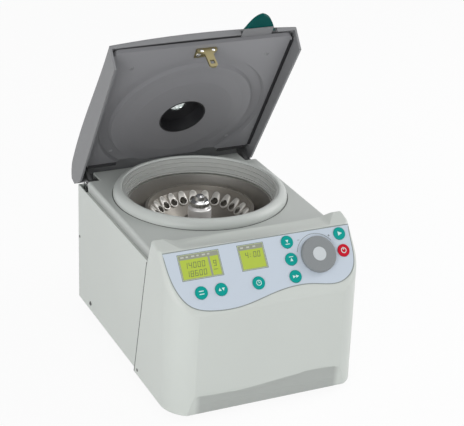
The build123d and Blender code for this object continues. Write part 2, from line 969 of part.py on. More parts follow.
def make_hub():
    bore = shaft_radius + shaft_gap
    outer = hub_radius - shaft_gap
    points = [
        (bore, hub_bottom),
        (hub_collar, hub_bottom),
        (hub_collar, rotor_bottom + 2),
        (outer, rotor_bottom + 2),
        (outer, cone_floor_z),
        (hub_collar, cone_floor_z + hub_slope),
        (hub_collar, hub_top),
        (bore, hub_top),
    ]
    return turned(points)


def make_nut():
    bore = shaft_radius + shaft_gap
    body_top = hub_top + nut_body_height
    points = [
        (bore, hub_top),
        (nut_radius - 1, hub_top),
        (nut_radius, hub_top + 1),
        (nut_radius, body_top - 1),
        (nut_radius - 1, body_top),
        (nut_radius - 5, body_top),
        (nut_radius - 5, body_top + 2.5),
        (nut_radius - 3, body_top + 3.5),
        (nut_radius - 3, body_top + 9),
        (nut_radius - 5, body_top + 11),
        (nut_radius - 9, body_top + 11.5),
        (nut_radius - 10, nut_top - 2),
        (nut_radius - 13, nut_top),
        (0, nut_top),
        (0, body_top + 5),
        (bore, body_top + 5),
    ]
    return turned(points)


save(make_rotor_ring(), "tube_rotor")
save(make_hub(), "rotor_hub")
save(make_nut(), "rotor_nut")


# Lid, drawn closed and then turned open about its hinge
def opened(shape):
    hinge = Axis((0, hinge_y, hinge_z), (1, 0, 0))
    return shape.rotate(hinge, -lid_open)


def lid_section(x, rise, bulge, inset):
    # The lid's outline at one place across it, set in by a wall where asked.
    front = lid_front_y - bulge + inset
    level = rise - inset
    reach = lid_back_y - front
    slope = (lid_back_z - lid_front_z) / reach
    crest = [
        (front, lid_front_z + level),
        (front + reach * 0.1, lid_front_z + slope * reach * 0.1 - lid_arch * 0.3 + level),
        (front + reach * 0.5, lid_front_z + slope * reach * 0.5 + lid_arch + level),
        (lid_back_y, lid_back_z + level),
    ]
    heel = (lid_heel_y - inset, lid_heel_z + level)
    tail = (lid_tail_y - inset, lid_tail_z)
    lower_tail = (flange_rear_y, flange_rear_z)
    front_low = (flange_front_y - bulge + inset, flange_front_z)
    if inset:
        lower_tail = (tail[0], flange_front_z - 20)
        front_low = (front_low[0], flange_front_z - 20)
    outline = [
        Spline(*crest),
        Spline(crest[-1], (lid_back_y + 23, lid_back_z - 5 + level), heel),
        Line(heel, tail),
        Line(tail, lower_tail),
        Line(lower_tail, front_low),
        Line(front_low, crest[0]),
    ]
    return Pos(x, 0, 0) * (Plane.YZ * make_face(outline))


def lid_block(half, inset):
    sections = [
        lid_section(-half, 0, 0, inset),
        lid_section(0, lid_crown, lid_bulge, inset),
        lid_section(half, 0, 0, inset),
    ]
    return loft(sections)


liner_top = liner_bottom + liner_thickness
channel_roof = liner_bottom + channel_rise
boss_places = [
    (-boss_front_x, boss_front_y, liner_bottom),
    (boss_front_x, boss_front_y, liner_bottom),
    (-boss_rear_x, boss_rear_y, channel_roof),
    (boss_rear_x, boss_rear_y, channel_roof),
]


def make_lid_shell():
    inner_half = half_width - lid_wall
    shell = lid_block(half_width, 0)
    middle_y = (lid_front_y + lid_back_y) / 2
    top_points = [(0, lid_front_y - lid_bulge, lid_front_z + lid_crown)]
    for side in (-1, 1):
        top_points.append((side * half_width, middle_y, (lid_front_z + lid_back_z) / 2 + lid_arch))
        top_points.append((side * half_width, lid_back_y + 18, lid_back_z - 3))
    shell = fillet(edges_near(shell, top_points), lid_edge_radius)
    shell -= lid_block(inner_half, lid_wall)
    below = flange_front_z - 15
    front = lid_front_y - 20
    shell -= block(-inner_half, inner_half, front, lid_front_y + 30, below, lip_bottom)
    shell -= block(-inner_half, inner_half, liner_rear_y - 20, reach, below, lid_tail_z)
    skin = lid_block(half_width, lid_wall / 2)
    posts = rod_z(0, axis_y, port_top, bezel_top - bezel_thickness, bezel_flange + 2)
    for x, y, seat in boss_places:
        foot = seat + liner_thickness + boss_pad
        posts += rod_z(x, y, foot, bezel_top, boss_radius) & skin
    for side in (-1, 1):
        x = side * arm_centre_x
        posts += block(x - arm_pad, x + arm_pad, arm_pad_y0, arm_pad_y1, arm_top, reach) & skin
    shell += posts
    shell -= rod_z(0, axis_y, deck_top, reach, glass_radius + 3 + shaft_gap)
    for x, y, seat in boss_places:
        tip = seat + liner_screw_sink + liner_screw_length
        shell -= rod_z(x, y, seat, tip + 1, screw_radius + shaft_gap)
    left = handle_left_x - 1
    right = handle_right_x + 2
    shell -= block(left, right, front, lid_front_y + 8, below, handle_top - lid_wall)
    return shell


def make_liner():
    half = liner_half_width
    plate = block(-half, half, liner_front_y, liner_rear_y, liner_bottom, liner_rim_top)
    plate = fillet(plate.edges().filter_by(Axis.Z), 9)
    inside = 2.2
    tray = block(
        -half + inside,
        half - inside,
        liner_front_y + inside,
        liner_rear_y - inside,
        liner_top,
        liner_rim_top + 1,
    )
    tray = fillet(tray.edges().filter_by(Axis.Z), 7)
    plate = plate - tray - rod_z(0, axis_y, 0, reach, channel_outer + 2)
    # A dished middle over the rotor, and round it a channel that the collar's rim enters.
    hole = port_radius + port_wall + shaft_gap
    floor = liner_bottom - liner_dome_drop
    shoulder = liner_dome_radius - liner_dome_slope
    thick = liner_thickness
    dish = [
        (hole, floor),
        (shoulder, floor),
        (liner_dome_radius, liner_bottom),
        (channel_inner, liner_bottom),
        (channel_inner + channel_slope, channel_roof),
        (channel_outer - channel_slope, channel_roof),
        (channel_outer, liner_bottom),
        (channel_outer + 3, liner_bottom),
        (channel_outer + 3, liner_top),
        (channel_outer + 1.5, liner_top),
        (channel_outer - channel_slope + 1.5, channel_roof + thick),
        (channel_inner + channel_slope - 1.5, channel_roof + thick),
        (channel_inner - 1.5, liner_top),
        (liner_dome_radius - 1, liner_top),
        (shoulder - 1, floor + thick),
        (hole, floor + thick),
    ]
    within = block(-half, half, liner_front_y, liner_rear_y, floor - 1, liner_rim_top + reach)
    liner = plate + (turned(dish) & within)
    for x, y, seat in boss_places:
        pad_top = seat + thick + boss_pad
        liner += rod_z(x, y, seat + thick - 0.5, pad_top, boss_radius + 1)
        liner -= rod_z(x, y, floor, pad_top + 1, screw_radius + shaft_gap)
        liner -= rod_z(x, y, floor, seat + liner_screw_sink, screw_head + seat_gap)
    for x in (hook_x - striker_screw, hook_x + striker_screw):
        liner -= rod_z(x, striker_screw_y, 0, reach, screw_radius + shaft_gap)
    return liner


def make_port_cup():
    floor = liner_bottom - liner_dome_drop
    outer = port_radius + port_wall
    points = [
        (port_radius, floor),
        (outer, floor),
        (outer, port_top),
        (glass_radius - 2, port_top),
        (glass_radius - 2, port_top - port_wall),
        (port_radius, port_top - port_wall),
    ]
    return turned(points)


def make_bezel():
    seat = bezel_top - bezel_thickness
    inner = glass_radius + shaft_gap
    points = [
        (inner, port_top),
        (glass_radius + 3, port_top),
        (glass_radius + 3, seat),
        (bezel_flange, seat),
        (bezel_flange, bezel_top - 1),
        (bezel_flange - 1.5, bezel_top),
        (inner - 1, bezel_top),
        (inner - 1, port_top + glass_thickness + 0.3),
        (inner, port_top + glass_thickness + 0.3),
    ]
    return turned(points)


def make_handle():
    z0 = handle_bottom
    z1 = handle_top
    front = lid_front_y - handle_reach
    outline = make_face(
        [
            Spline(
                (handle_left_x, lid_front_y + 4),
                (handle_left_x + 7, lid_front_y - handle_reach * 0.35),
                (handle_peak_x - 6, front + 2.5),
                (handle_peak_x, front),
            ),
            Spline(
                (handle_peak_x, front),
                (handle_peak_x + 7, front + 3.5),
                (handle_right_x - 7, lid_front_y - handle_reach * 0.28),
                (handle_right_x, lid_front_y + 4),
            ),
            Line((handle_right_x, lid_front_y + 4), (handle_left_x, lid_front_y + 4)),
        ]
    )
    grip = Pos(0, 0, z0) * extrude(outline, z1 - z0)
    grip = fillet(grip.edges().group_by(Axis.Z)[-1].sort_by(Axis.Y)[:2], 2.0)
    for shift in ((0, -seat_gap, 0), (0, 0, seat_gap)):
        grip -= Pos(*shift) * lid_block(half_width, 0)
    tongue_top = z1 - lid_wall - 1.2
    tongue = block(tongue_left_x, tongue_right_x, lid_front_y - 6, lid_front_y + 22, z0, tongue_top)
    return grip + tongue


def make_striker():
    half = striker_width / 2
    top = liner_bottom
    left = hook_x - half
    right = hook_x + half
    plate = block(left, right, hook_y - hook_thickness / 2, hook_y + striker_depth, top - 2, top)
    for side in (-1, 1):
        x = hook_x + side * striker_screw
        plate -= rod_z(x, striker_screw_y, 0, reach, screw_radius + shaft_gap)
    y0 = hook_y - hook_thickness / 2
    y1 = hook_y + hook_thickness / 2
    leg = Plane.XZ * make_face(
        Polyline(
            (left, top),
            (right, top),
            (right, top - 5),
            (hook_x + hook_width / 2, top - 11),
            (hook_x + hook_width / 2, hook_bottom + 3),
            (hook_x + hook_width / 2 - 3, hook_bottom),
            (hook_x - hook_width / 2 + 3, hook_bottom),
            (hook_x - hook_width / 2, hook_bottom + 3),
            (hook_x - hook_width / 2, top - 11),
            (left, top - 5),
            close=True,
        )
    )
    leg = Pos(0, y1, 0) * extrude(leg, y1 - y0)
    gap = hook_window / 2
    window = block(hook_x - gap, hook_x + gap, y0 - 1, y1 + 1, bolt_z - gap, bolt_z + gap)
    return plate + leg - window


def make_hinge_arm(side):
    x = side * arm_centre_x
    half = arm_thickness / 2
    depth = arm_eye - 1.5
    stem = block(x - half, x + half, hinge_y - depth, hinge_y + depth, hinge_z, arm_top)
    pad = block(x - arm_pad, x + arm_pad, arm_pad_y0, arm_pad_y1, arm_top - 2.5, arm_top)
    eye = rod_x(x - half, x + half, hinge_y, hinge_z, arm_eye)
    return stem + pad + eye - rod_x(x - 20, x + 20, hinge_y, hinge_z, pin_radius + shaft_gap)


def make_hinge_bracket(side):
    x = side * arm_centre_x
    inside = arm_thickness / 2 + sliding_gap
    outside = inside + cheek_thickness
    rear = rear_y - sheet
    plate_y = rear - cheek_thickness
    plate = block(x - outside, x + outside, plate_y, rear, bracket_bottom, panel_top - 5)
    cheek = side_face(
        [
            (rear, bracket_bottom),
            (rear, hinge_z + 4),
            (hinge_y + 4, bracket_top),
            (hinge_y - 6, bracket_top),
            (hinge_y - 9, hinge_z + 4),
            (hinge_y - 9, hinge_z - 6),
        ]
    )
    for start in (x - outside, x + inside):
        plate += Pos(start, 0, 0) * extrude(cheek, cheek_thickness)
    for z in rear_screw_zs[1:]:
        plate -= rod_y(x, rear - 5, rear + 1, z, screw_radius + shaft_gap)
    return plate - rod_x(x - 20, x + 20, hinge_y, hinge_z, pin_radius + shaft_gap)


def make_hinge_pin(side):
    x = side * arm_centre_x
    reach = arm_thickness / 2 + sliding_gap + cheek_thickness
    pin = rod_x(x - reach - 0.8, x + reach + 0.8, hinge_y, hinge_z, pin_radius)
    for end in (-1, 1):
        a, b = sorted((x + end * (reach + 0.2), x + end * (reach + 1.6)))
        pin += rod_x(a, b, hinge_y, hinge_z, pin_head)
    return pin


def make_screw(x, y, z, toward, length):
    # A button-headed screw whose head faces the way given, with its seat at the point.
    head = rod_z(0, 0, 0, screw_proud, screw_head)
    head = fillet(head.edges().group_by(Axis.Z)[-1], 0.9)
    socket = extrude(RegularPolygon(1.2, 6), 2)
    screw = head - Pos(0, 0, screw_proud - 0.7) * socket + rod_z(0, 0, -length, 0, screw_radius)
    return Plane(origin=(x, y, z), z_dir=toward) * screw


save(opened(make_lid_shell()), "lid_shell")
save(opened(make_liner()), "lid_liner")
save(opened(make_port_cup()), "port_cup")
save(opened(rod_z(0, axis_y, port_top, port_top + glass_thickness, glass_radius)), "sight_glass")
save(opened(make_bezel()), "port_bezel")
save(opened(make_handle()), "lid_handle")
save(opened(make_striker()), "lid_striker")
save(opened(group(make_hinge_arm(side) for side in (-1, 1))), "hinge_arms")
save(group(make_hinge_bracket(side) for side in (-1, 1)), "hinge_brackets")
save(group(make_hinge_pin(side) for side in (-1, 1)), "hinge_pins")
down = (0, 0, -1)
save(
    opened(
        group(
            make_screw(x, y, seat + liner_screw_sink, down, liner_screw_length)
            for x, y, seat in boss_places
        )
    ),
    "liner_screws",
)
save(
    opened(
        group(
            make_screw(hook_x + side * striker_screw, striker_screw_y, liner_bottom - 2, down, 5)
            for side in (-1, 1)
        )
    ),
    "striker_screws",
)


# Lock under the deck
def make_latch_housing():
    top = deck_top - moulding
    left = hook_x - latch_half
    right = hook_x + latch_half
    body = block(left, right, latch_front, latch_rear, latch_bottom, top)
    body -= hook_slot(hook_bottom - 2.5, top + 1)
    return body - rod_y(hook_x, latch_front - 1, hook_y, bolt_z, bolt_radius + shaft_gap)


def make_solenoid():
    left = hook_x - solenoid_half
    right = hook_x + solenoid_half
    low = bolt_z - solenoid_half
    body = block(left, right, solenoid_front, latch_front, low, bolt_z + solenoid_half)
    bore = rod_y(hook_x, solenoid_front + 3, latch_front + 1, bolt_z, bolt_radius + shaft_gap)
    return body - bore


save(make_latch_housing(), "latch_housing")
save(make_solenoid(), "latch_solenoid")
save(rod_y(hook_x, bolt_rest_y - bolt_length, bolt_rest_y, bolt_z, bolt_radius), "lock_bolt")


# Power side and the rear
def make_power_board():
    z = base_top + stud_height
    left = supply_left_x
    front = supply_front_y
    top = z + board_thickness
    board = block(left, left + supply_width, front, front + supply_length, z, top)
    # A transformer, a capacitor block, two round capacitors and a finned heat sink.
    board += block(left + 4, left + 32, front + 8, front + 40, top, top + 26)
    board += block(left + 6, left + 40, front + 64, front + 92, top, top + 14)
    for y in (front + 64, front + 72):
        board += rod_z(left + 42, y, top, top + 10, 3)
    for fin in range(5):
        x = left + 6 + fin * 5
        board += block(x, x + 2, front + 44, front + 58, top, top + 22)
    return board


def make_inlet():
    front = rear_y - inlet_depth
    body = rear_block(inlet_x, inlet_z, inlet_half_x, inlet_half_z, front, rear_y)
    flange = rear_block(inlet_x, inlet_z, inlet_half_x + 6, inlet_half_z + 3, rear_y, rear_y + 3)
    socket = rear_block(inlet_x, inlet_z + 0.5, 11.5, 8, rear_y - 16, rear_y + 4)
    inlet = body + flange - socket
    for x, z in ((-7, -2), (0, 2.5), (7, -2)):
        inlet += rear_block(inlet_x + x, inlet_z + z, 1, 2, rear_y - 17, rear_y - 2)
    return inlet


def make_switch_frame():
    body = rear_block(switch_x, switch_z, switch_half_x, switch_half_z, rear_y - 18, rear_y)
    flange = rear_block(switch_x, switch_z, switch_half_x + 2, switch_half_z + 2, rear_y, rear_y + 2)
    pit = rear_block(switch_x, switch_z, 12, 7.5, rear_y - 12, rear_y + 3)
    pin = rod_z(switch_x, rocker_y, switch_z - 8, switch_z + 8, rocker_pin)
    return body + flange - pit + pin


def make_rocker():
    tilt = radians(rocker_angle)
    half = 10.2
    rise = 3.2
    face = Polyline(
        (switch_x - half, rear_y - 5.5),
        (switch_x - half, rear_y + rise + half * tan(tilt) * 0.5),
        (switch_x, rear_y + 1.2),
        (switch_x + half, rear_y + rise * 0.2),
        (switch_x + half, rear_y - 5.5),
        close=True,
    )
    rocker = Pos(0, 0, switch_z - 7.2) * extrude(make_face(face), 14.4)
    return rocker - rod_z(switch_x, rocker_y, 0, reach, rocker_pin + shaft_gap)


save(make_power_board(), "power_board")
save(make_inlet(), "mains_inlet")
save(make_switch_frame(), "switch_frame")
save(make_rocker(), "mains_rocker")
rear_screws = [make_screw(x, rear_y, z, (0, 1, 0), 4) for x, z in rear_screw_places()]
save(group(rear_screws), "rear_screws")
side_screws = [
    make_screw(side * half_width, side_screw_y, side_screw_z, (side, 0, 0), 4) for side in (-1, 1)
]
save(group(side_screws), "side_screws")
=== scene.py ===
import math

import bmesh
import bpy
from mathutils import Matrix, Vector


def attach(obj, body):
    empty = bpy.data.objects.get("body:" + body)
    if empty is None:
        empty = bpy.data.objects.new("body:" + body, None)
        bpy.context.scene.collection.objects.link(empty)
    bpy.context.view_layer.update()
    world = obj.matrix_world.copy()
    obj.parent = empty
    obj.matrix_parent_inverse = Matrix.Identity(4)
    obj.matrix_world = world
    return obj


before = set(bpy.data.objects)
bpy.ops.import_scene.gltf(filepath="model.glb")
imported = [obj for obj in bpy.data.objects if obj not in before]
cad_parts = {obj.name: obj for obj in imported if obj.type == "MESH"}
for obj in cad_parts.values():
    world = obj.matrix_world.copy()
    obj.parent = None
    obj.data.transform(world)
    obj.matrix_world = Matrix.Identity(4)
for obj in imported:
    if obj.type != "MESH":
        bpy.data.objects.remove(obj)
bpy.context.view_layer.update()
scene = bpy.context.scene
MM = 0.001

# Places taken over from the solids, in millimetres
axis_y = 42.0
pocket_ring_radius, pocket_mouth_z = 62.0, 179.5
pocket_count, pocket_bore = 24, 5.6
lobe_height, lobe_end_radius = 2.5, 72.8
rotor_rim_inner = 74.5
nut_body_top = 196.0
hinge_y, hinge_z = 155.5, 202.0
lid_open = math.radians(58.3)
liner_face_z = 226.0
liner_front_y, liner_rear_y = -100.0, 130.0
hook_x, hook_face_y = 2.0, -105.2
hook_stud_x, hook_stud_z = 8.6, 221.6
deck_foot_z, deck_top_z = 200.0, 216.0
panel_half_width, cover_half_width = 140.0, 141.0
seam_low_y, seam_low_z = -64.0, 10.0
seam_high_y, seam_high_z = -106.5, 200.0
front_face_y = -205.0
kick_z, kick_half_width = 40.0, 104.0
kick_wave_height, kick_wave_turn = 4.0, 2.6
side_words = {-1: "left", 1: "right"}


def lid_point(x, y, z):
    """A place on the lid is given as the lid stands when closed, and turns open with it."""
    away, high = y - hinge_y, z - hinge_z
    turned_y = hinge_y + away * math.cos(lid_open) + high * math.sin(lid_open)
    turned_z = hinge_z - away * math.sin(lid_open) + high * math.cos(lid_open)
    return Vector((x, turned_y, turned_z)) * MM


# Short ways to add the nodes of a material or of the world
def fill(tree, node, values):
    """Sets a node's sockets to constants, or joins them to the outputs of other nodes."""
    for label, value in values.items():
        if isinstance(value, bpy.types.NodeSocket):
            tree.links.new(value, node.inputs[label])
        else:
            node.inputs[label].default_value = value


def add(tree, kind, values, **settings):
    """A new node of one kind. Its settings come first, because they choose its sockets."""
    node = tree.nodes.new(kind)
    for setting, choice in settings.items():
        setattr(node, setting, choice)
    fill(tree, node, values)
    return node


def number(tree, operation, *values):
    node = add(tree, "ShaderNodeMath", dict(enumerate(values)), operation=operation)
    return node.outputs["Value"]


def remap(tree, value, start=0.0, end=1.0, low=0.0, high=1.0):
    """The stretch from start to end becomes the stretch from low to high."""
    limits = {"From Min": start, "From Max": end, "To Min": low, "To Max": high}
    return add(tree, "ShaderNodeMapRange", {"Value": value, **limits}).outputs["Result"]


def mixed(tree, share, first, second, way="MIX"):
    """The first colour where the share is 0, and the second laid over it where it is 1."""
    values = {"Factor": share, "A": first, "B": second}
    return add(tree, "ShaderNodeMix", values, data_type="RGBA", blend_type=way).outputs["Result"]


def speckle(tree, place, scale, detail):
    values = {"Vector": place, "Scale": scale, "Detail": detail}
    return add(tree, "ShaderNodeTexNoise", values).outputs["Fac"]


def axes_of(tree, place):
    return add(tree, "ShaderNodeSeparateXYZ", {"Vector": place}).outputs


# What the materials share: a slow drift of tone and a fine grain, which is 0.2 mm deep at most
drift_scale, drift_detail, drift_share = 6.0, 3.0, 0.03
grain_scale, grain_detail, grain_depth = 900.0, 4.0, 0.2


def new_material(name):
    material = bpy.data.materials.new(name)
    material.use_nodes = True
    return material, material.node_tree, material.node_tree.nodes["Principled BSDF"]


def object_place(tree):
    return tree.nodes.new("ShaderNodeTexCoord").outputs["Object"]


def drifting(tree, place, color):
    """The base colour with a slow, faint change across the surface."""
    low = [c * (1.0 - drift_share) for c in color]
    high = [min(1.0, c * (1.0 + drift_share)) for c in color]
    drift = speckle(tree, place, drift_scale, drift_detail)
    return mixed(tree, drift, (*low, 1.0), (*high, 1.0))


def bumps(tree, height, strength):
    values = {"Height": height, "Strength": strength, "Distance": grain_depth * MM}
    return add(tree, "ShaderNodeBump", values)


def plastic(name, color, roughness=0.45, grain=0.12, shine=0.4, metallic=0.0, shade=None, slope=None):
    """Moulded plastic or paint with a fine grain of the given strength.

    shade is a function that paints light and shade into the colour by place, and slope one that gives the
    normal.
    """
    material, tree, shader = new_material(name)
    place = object_place(tree)
    tint = drifting(tree, place, color)
    if shade:
        tint = shade(tree, place, tint)
    bump = bumps(tree, speckle(tree, place, grain_scale, grain_detail), grain)
    if slope:
        fill(tree, bump, {"Normal": slope(tree)})
    values = {
        "Base Color": tint,
        "Roughness": roughness,
        "Specular IOR Level": shine,
        "Metallic": metallic,
        "Normal": bump.outputs["Normal"],
    }
    fill(tree, shader, values)
    return material


def satin(name, color, roughness, metallic):
    """A dull metal with hardly any grain."""
    return plastic(name, color, roughness, grain=0.05, metallic=metallic)


def metal(name, color, roughness, stretch, mark_scale=60.0, mark_detail=5.0, mark_strength=0.06):
    """Metal with fine marks drawn out along one way."""
    material, tree, shader = new_material(name)
    place = object_place(tree)
    drawn = add(tree, "ShaderNodeMapping", {"Vector": place, "Scale": stretch}).outputs["Vector"]
    marks = speckle(tree, drawn, mark_scale, mark_detail)
    values = {
        "Base Color": (*color, 1.0),
        "Metallic": 1.0,
        "Roughness": remap(tree, marks, low=roughness * 0.8, high=roughness * 1.25),
        "Normal": bumps(tree, marks, mark_strength).outputs["Normal"],
    }
    fill(tree, shader, values)
    return material


def tone_by_height(tree, place, tint, low_z, high_z, low_tone, high_tone):
    """A colour's tone changes from one height, in metres, to another."""
    tone = remap(tree, axes_of(tree, place)["Z"], low_z, high_z, low_tone, high_tone)
    values = {0: tint, "Scale": tone}
    return add(tree, "ShaderNodeVectorMath", values, operation="SCALE").outputs["Vector"]


def deck_painted_shade(tree, place, tint):
    """Painted shade: the deck's flanks grow darker down to the ledge beside them."""
    low_z, high_z = (deck_foot_z + 3.0) * MM, (deck_top_z - 2.0) * MM
    return tone_by_height(tree, place, tint, low_z, high_z, 0.62, 1.0)


def liner_painted_shading(tree, place, tint):
    """Painted light and shade: the liner is paler towards the lid's front edge and darker towards its
    rear edge.
    """
    low_z = lid_point(0.0, liner_rear_y, liner_face_z).z
    high_z = lid_point(0.0, liner_front_y, liner_face_z).z
    return tone_by_height(tree, place, tint, low_z, high_z, 0.76, 1.16)


def liner_slope(tree, even_share=0.62):
    """The moulding's steps are rounded, so most of the light falls as on one even face."""
    face = {"Vector": (0.0, -math.sin(lid_open), -math.cos(lid_open))}
    ways = {"vector_type": "NORMAL", "convert_from": "OBJECT", "convert_to": "WORLD"}
    even = add(tree, "ShaderNodeVectorTransform", face, **ways)
    own = tree.nodes.new("ShaderNodeNewGeometry")
    values = {"Factor": even_share, "A": own.outputs["Normal"], "B": even.outputs["Vector"]}
    blend = add(tree, "ShaderNodeMix", values, data_type="VECTOR").outputs["Result"]
    return add(tree, "ShaderNodeVectorMath", {0: blend}, operation="NORMALIZE").outputs["Vector"]


def kick_painted_shade(tree, place, tint, blur=0.8, side_blur=4.0, far_back=12.0, near_back=6.0):
    """Painted shade: the cover is darker in the recess along its foot, whose upper edge is a wave."""
    x, y, z = axes_of(tree, place)
    phase = number(tree, "MULTIPLY", x, kick_wave_turn / (kick_half_width * MM))
    wave = number(tree, "MULTIPLY", number(tree, "SINE", phase), kick_wave_height * MM)
    height = number(tree, "SUBTRACT", z, wave)
    sideways = number(tree, "ABSOLUTE", x)
    low = remap(tree, height, (kick_z + blur) * MM, (kick_z - blur) * MM)
    outer, inner = (kick_half_width + side_blur) * MM, (kick_half_width - side_blur) * MM
    inside = remap(tree, sideways, outer, inner)
    forward = remap(tree, y, (front_face_y + far_back) * MM, (front_face_y + near_back) * MM)
    share = number(tree, "MULTIPLY", number(tree, "MULTIPLY", low, inside), forward)
    # The painted shade's colour, multiplied into the cover's
    return mixed(tree, share, tint, (0.69, 0.69, 0.695, 1.0), "MULTIPLY")


def nut_finish(nut_grain_scale=400.0, above_body=0.4):
    """Bright metal with a pale satin body below."""
    material, tree, shader = new_material("nut finish")
    place = object_place(tree)
    body = number(tree, "LESS_THAN", axes_of(tree, place)["Z"], (nut_body_top + above_body) * MM)
    grain = speckle(tree, place, nut_grain_scale, grain_detail)
    values = {
        "Base Color": mixed(tree, body, (0.80, 0.80, 0.80, 1.0), (0.92, 0.90, 0.885, 1.0)),
        "Metallic": remap(tree, body, low=1.0, high=0.25),
        "Roughness": remap(tree, body, low=0.14, high=0.3),
        "Normal": bumps(tree, grain, 0.05).outputs["Normal"],
    }
    fill(tree, shader, values)
    return material


def rotor_finish(lobe_foot=0.3, lobe_full=1.6, pocket_edge=-0.8, pocket_depth=-12.0, lobe_length=12.0):
    """Rotor metal that is paler on the raised lobes, and pale and dull inside the pockets.

    The first four are heights over the rotor's slanted face, in millimetres.
    """
    material, tree, shader = new_material("rotor finish")
    place = object_place(tree)
    x, y, z = axes_of(tree, place)
    back = number(tree, "SUBTRACT", y, axis_y * MM)
    squares = [number(tree, "MULTIPLY", side, side) for side in (x, back)]
    radius = number(tree, "SQRT", number(tree, "ADD", *squares))
    above_mouth = number(tree, "SUBTRACT", z, pocket_mouth_z * MM)
    outside_ring = number(tree, "SUBTRACT", radius, pocket_ring_radius * MM)
    from_face = number(tree, "SUBTRACT", above_mouth, outside_ring)
    height = number(tree, "MULTIPLY", from_face, math.sqrt(0.5))
    raised = remap(tree, height, lobe_foot * MM, lobe_full * MM)
    deep = remap(tree, height, pocket_edge * MM, pocket_depth * MM)
    beyond_hub = number(tree, "GREATER_THAN", radius, (pocket_ring_radius - lobe_length) * MM)
    before_end = number(tree, "LESS_THAN", radius, lobe_end_radius * MM)
    under_rim = number(tree, "LESS_THAN", radius, rotor_rim_inner * MM)
    on_lobe = number(tree, "MULTIPLY", raised, number(tree, "MULTIPLY", beyond_hub, before_end))
    in_pocket = number(tree, "MULTIPLY", deep, under_rim)
    outside = mixed(tree, on_lobe, (0.25, 0.232, 0.205, 1.0), (0.72, 0.70, 0.655, 1.0))
    cast_skin = speckle(tree, place, scale=700.0, detail=2.0)
    values = {
        "Base Color": mixed(tree, in_pocket, outside, (0.85, 0.82, 0.76, 1.0)),
        "Metallic": remap(tree, in_pocket, low=0.55, high=0.0),
        "Roughness": remap(tree, cast_skin, low=0.32, high=0.46),
    }
    fill(tree, shader, values)
    return material


def glass(name, color):
    material, tree, shader = new_material(name)
    values = {"Base Color": (*color, 1.0), "Roughness": 0.04, "Transmission Weight": 0.9, "IOR": 1.47}
    fill(tree, shader, values)
    return material


cover_color = (0.60, 0.63, 0.595)
paint = {
    "case": plastic("case paint", cover_color, 0.42),
    "cover": plastic("cover moulding", cover_color, 0.40, shade=kick_painted_shade),
    "deck": plastic("deck moulding", (0.53, 0.555, 0.53), 0.42, shade=deck_painted_shade),
    "collar": plastic("collar moulding", (0.54, 0.565, 0.54), 0.38),
    "lid": plastic("lid moulding", (0.215, 0.217, 0.223), 0.45),
    "liner": plastic("liner moulding", (0.225, 0.225, 0.235), 0.42, shade=liner_painted_shading, slope=liner_slope),
    "plug": plastic("liner screws", (0.26, 0.262, 0.268), 0.45),
    "dark": plastic("dark moulding", (0.02, 0.02, 0.022), 0.4),
    "gasket": plastic("gasket rubber", (0.46, 0.47, 0.45), 0.5),
    # Near-black colour of the painted shadows along seams and round the collar's foot
    "shadow_line": plastic("painted seam shadow", (0.13, 0.135, 0.13), 0.7),
    "rubber": plastic("foot rubber", (0.015, 0.015, 0.016), 0.75),
    "overlay": plastic("overlay film", (0.56, 0.625, 0.70), 0.32, 0.03),
    "overlay_line": plastic("overlay line", (0.15, 0.17, 0.17), 0.5, 0.03),
    # Painted shade along the overlay's edge
    "overlay_edge_shadow": plastic("overlay edge shadow", (0.26, 0.29, 0.28), 0.5, 0.03),
    "glass_face": plastic("display face", (0.45, 0.56, 0.075), 0.25, 0.02, shine=0.2),
    "display_strip": plastic("display strip", (0.30, 0.315, 0.25), 0.25, 0.02),
    "strip_mark": plastic("strip mark", (0.50, 0.52, 0.45), 0.4, 0.02),
    "digit": plastic("display digit", (0.16, 0.20, 0.07), 0.3, 0.02),
    "teal": plastic("teal moulding", (0.002, 0.32, 0.28), 0.35, 0.05, shine=0.15),
    "handle_teal": plastic("handle moulding", (0.0, 0.075, 0.068), 0.6, 0.05, shine=0.1),
    "red": plastic("red moulding", (0.56, 0.006, 0.025), 0.35, 0.05, shine=0.15),
    "icon": plastic("key mark", (0.62, 0.80, 0.77), 0.4, 0.02),
    "knob": plastic("knob moulding", (0.235, 0.25, 0.256), 0.55),
    "knob_pale": plastic("knob cap", (0.59, 0.625, 0.64), 0.4),
    "board": plastic("circuit board", (0.01, 0.10, 0.045), 0.35),
    "motor": plastic("motor enamel", (0.02, 0.022, 0.026), 0.4),
    "winding": plastic("windings", (0.25, 0.09, 0.03), 0.45),
    "bowl": metal("spun bowl", (0.80, 0.79, 0.765), 0.40, (1.0, 1.0, 60.0)),
    "zinc": metal("plated steel", (0.62, 0.62, 0.62), 0.35, (1.0, 1.0, 6.0)),
    "dull_steel": metal("dull steel", (0.28, 0.28, 0.28), 0.4, (1.0, 1.0, 6.0)),
    "bright": metal("bright steel", (0.78, 0.78, 0.78), 0.14, (1.0, 1.0, 10.0)),
    "brass": metal("yellow plating", (0.33, 0.285, 0.155), 0.40, (6.0, 1.0, 1.0)),
    "rotor": rotor_finish(),
    "lobe": satin("rotor lobes", (0.74, 0.72, 0.675), 0.42, 0.45),
    "nut": nut_finish(),
    "screw_dark": satin("dark screws", (0.10, 0.10, 0.10), 0.4, 0.6),
    "clear": glass("sight glass", (0.85, 0.92, 0.90)),
}

